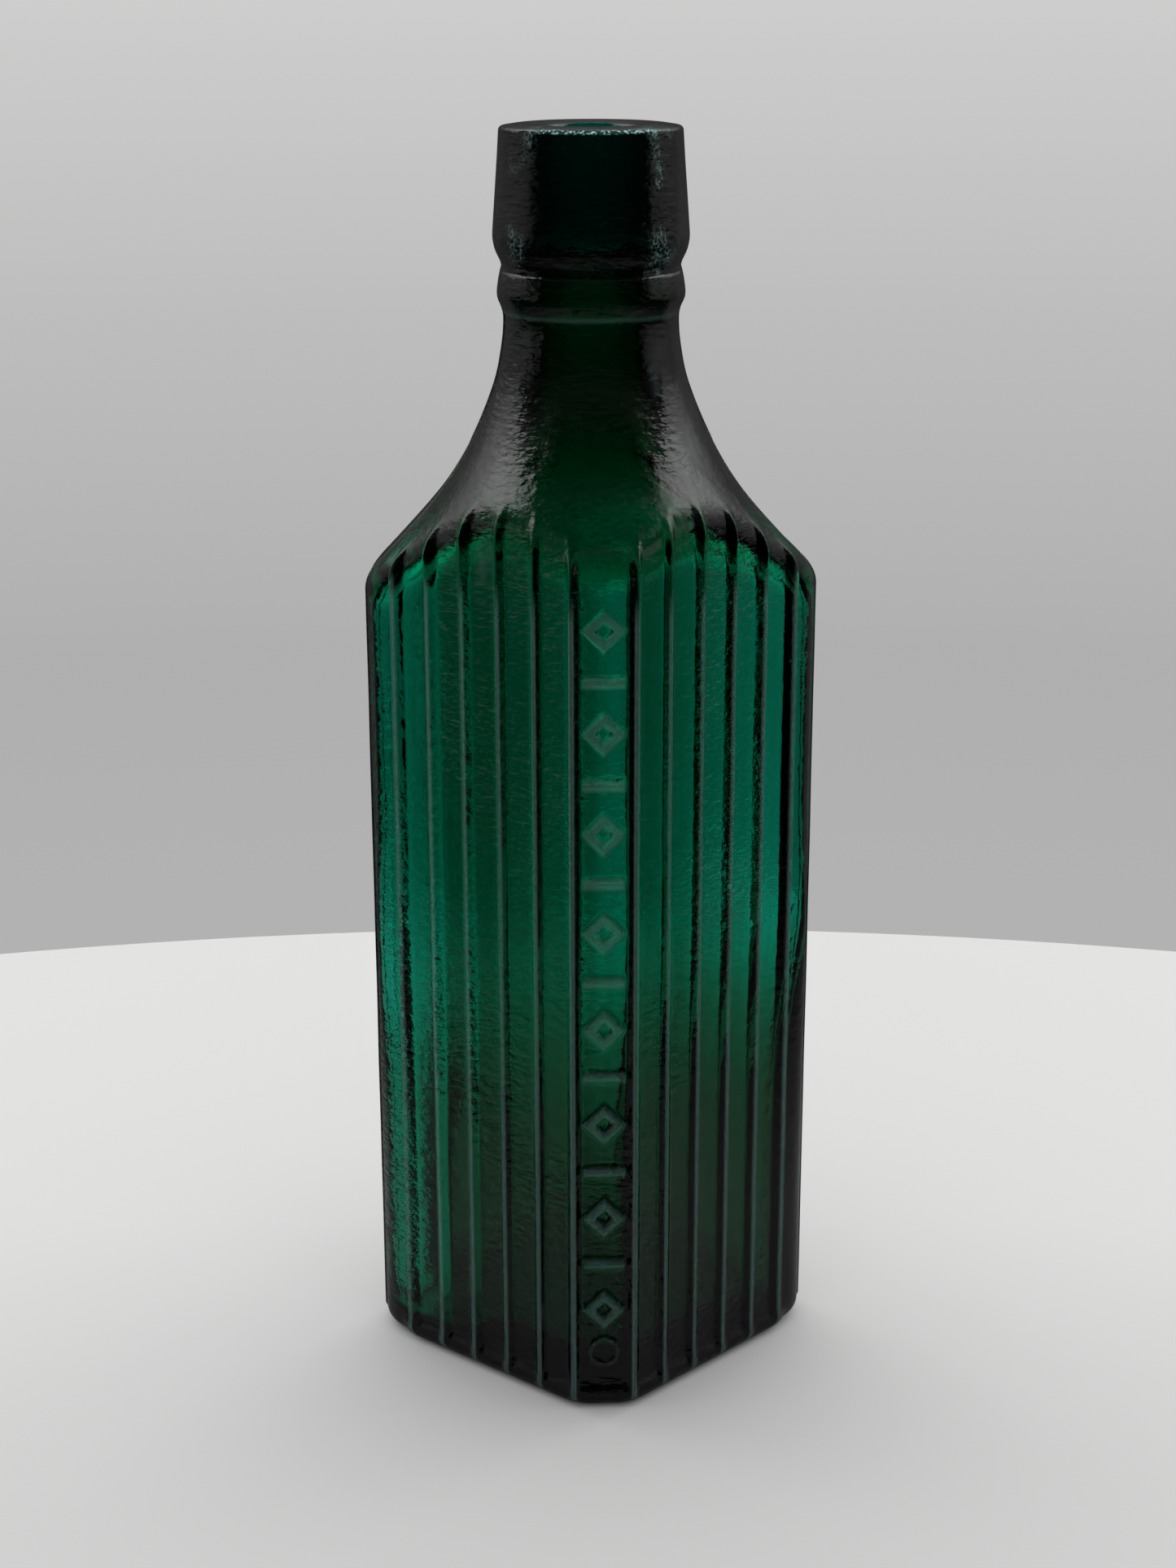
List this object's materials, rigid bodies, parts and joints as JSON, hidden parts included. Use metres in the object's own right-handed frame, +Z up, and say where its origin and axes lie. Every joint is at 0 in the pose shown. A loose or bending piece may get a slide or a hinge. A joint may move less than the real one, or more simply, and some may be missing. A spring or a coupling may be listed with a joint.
{
  "type": "square ribbed glass bottle",
  "caption": "Square glass apothecary bottle with ribbed front faces, a raised ornament up one corner, a bell shoulder and a tall collar lip for a cork.",
  "frame": {"origin": "middle of the base, on the axis of the neck, at the level that the bottle stands on", "axes": "+Z up along the neck; the ribbed faces look along -Y and +X and meet at the cut front corner (+X, -Y); the plain label faces look along +Y and -X"},
  "size_m": [0.044, 0.044, 0.1516],
  "materials": {
    "bottle_glass": "deep green moulded glass, glossy, slightly rippled, with faint wear on the shoulder",
    "lip_glass": "deep green glass, thick and nearly black by transmitted light, fire-polished"
  },
  "bodies": {
    "root": {"moulded_body": "bottle_glass", "collar_lip": "lip_glass"}
  },
  "joints": []
}
